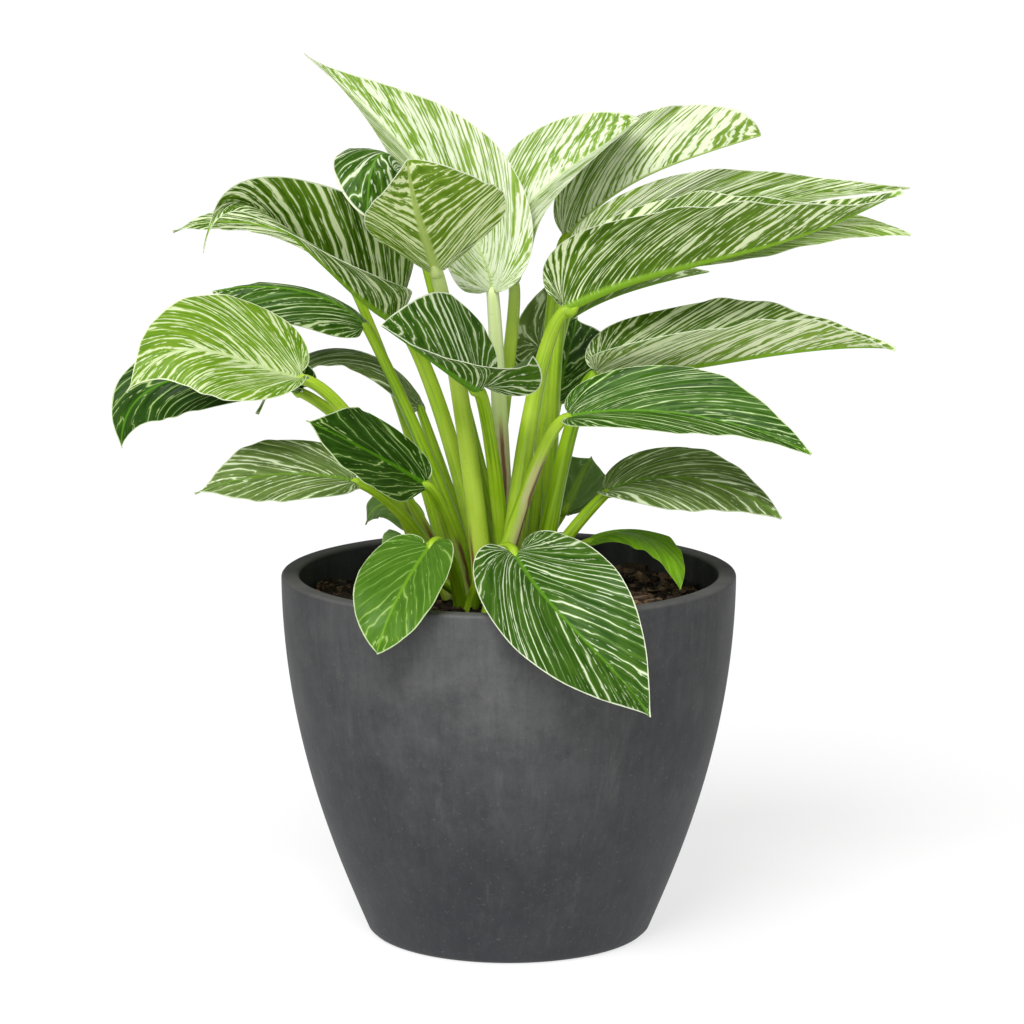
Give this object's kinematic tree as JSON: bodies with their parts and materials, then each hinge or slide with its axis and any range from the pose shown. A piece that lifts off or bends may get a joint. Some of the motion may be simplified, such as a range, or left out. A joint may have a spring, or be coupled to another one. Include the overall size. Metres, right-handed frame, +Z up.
{
  "type": "potted philodendron birkin",
  "caption": "Clump of white-striped, heart-based philodendron birkin leaves on bright green stalks, growing in a round tapered charcoal planter with bark soil.",
  "frame": {"origin": "centre of the planter's underside, on the surface that it stands on", "axes": "+Z up through the middle of the planter, -Y towards the front, +X to the right of someone facing the front"},
  "size_m": [0.4885, 0.3154, 0.5394],
  "materials": {
    "pot": "matte charcoal fibre clay, the lip worn a little lighter",
    "soil": "rough dark bark and peat mix",
    "blade": "waxy satin green leaf with cream-white stripes along the side veins",
    "stalk": "smooth satin yellow-green leaf stalk"
  },
  "bodies": {
    "root": {"pot": "pot", "soil": "soil", "leaf_01": "blade", "stem_01": "stalk", "leaf_02": "blade", "stem_02": "stalk", "leaf_03": "blade", "stem_03": "stalk", "leaf_04": "blade", "stem_04": "stalk", "leaf_05": "blade", "stem_05": "stalk", "leaf_06": "blade", "stem_06": "stalk", "leaf_07": "blade", "stem_07": "stalk", "leaf_08": "blade", "stem_08": "stalk", "leaf_09": "blade", "stem_09": "stalk", "leaf_10": "blade", "stem_10": "stalk", "leaf_11": "blade", "stem_11": "stalk", "leaf_12": "blade", "stem_12": "stalk", "leaf_13": "blade", "stem_13": "stalk", "leaf_14": "blade", "stem_14": "stalk", "leaf_15": "blade", "stem_15": "stalk", "leaf_16": "blade", "stem_16": "stalk", "leaf_17": "blade", "stem_17": "stalk", "leaf_18": "blade", "stem_18": "stalk", "leaf_19": "blade", "stem_19": "stalk", "leaf_20": "blade", "stem_20": "stalk", "leaf_21": "blade", "stem_21": "stalk", "leaf_22": "blade", "stem_22": "stalk", "leaf_23": "blade", "stem_23": "stalk", "leaf_24": "blade", "stem_24": "stalk", "leaf_25": "blade", "stem_25": "stalk", "leaf_26": "blade", "stem_26": "stalk", "leaf_27": "blade", "stem_27": "stalk", "leaf_28": "blade", "stem_28": "stalk"}
  },
  "joints": []
}
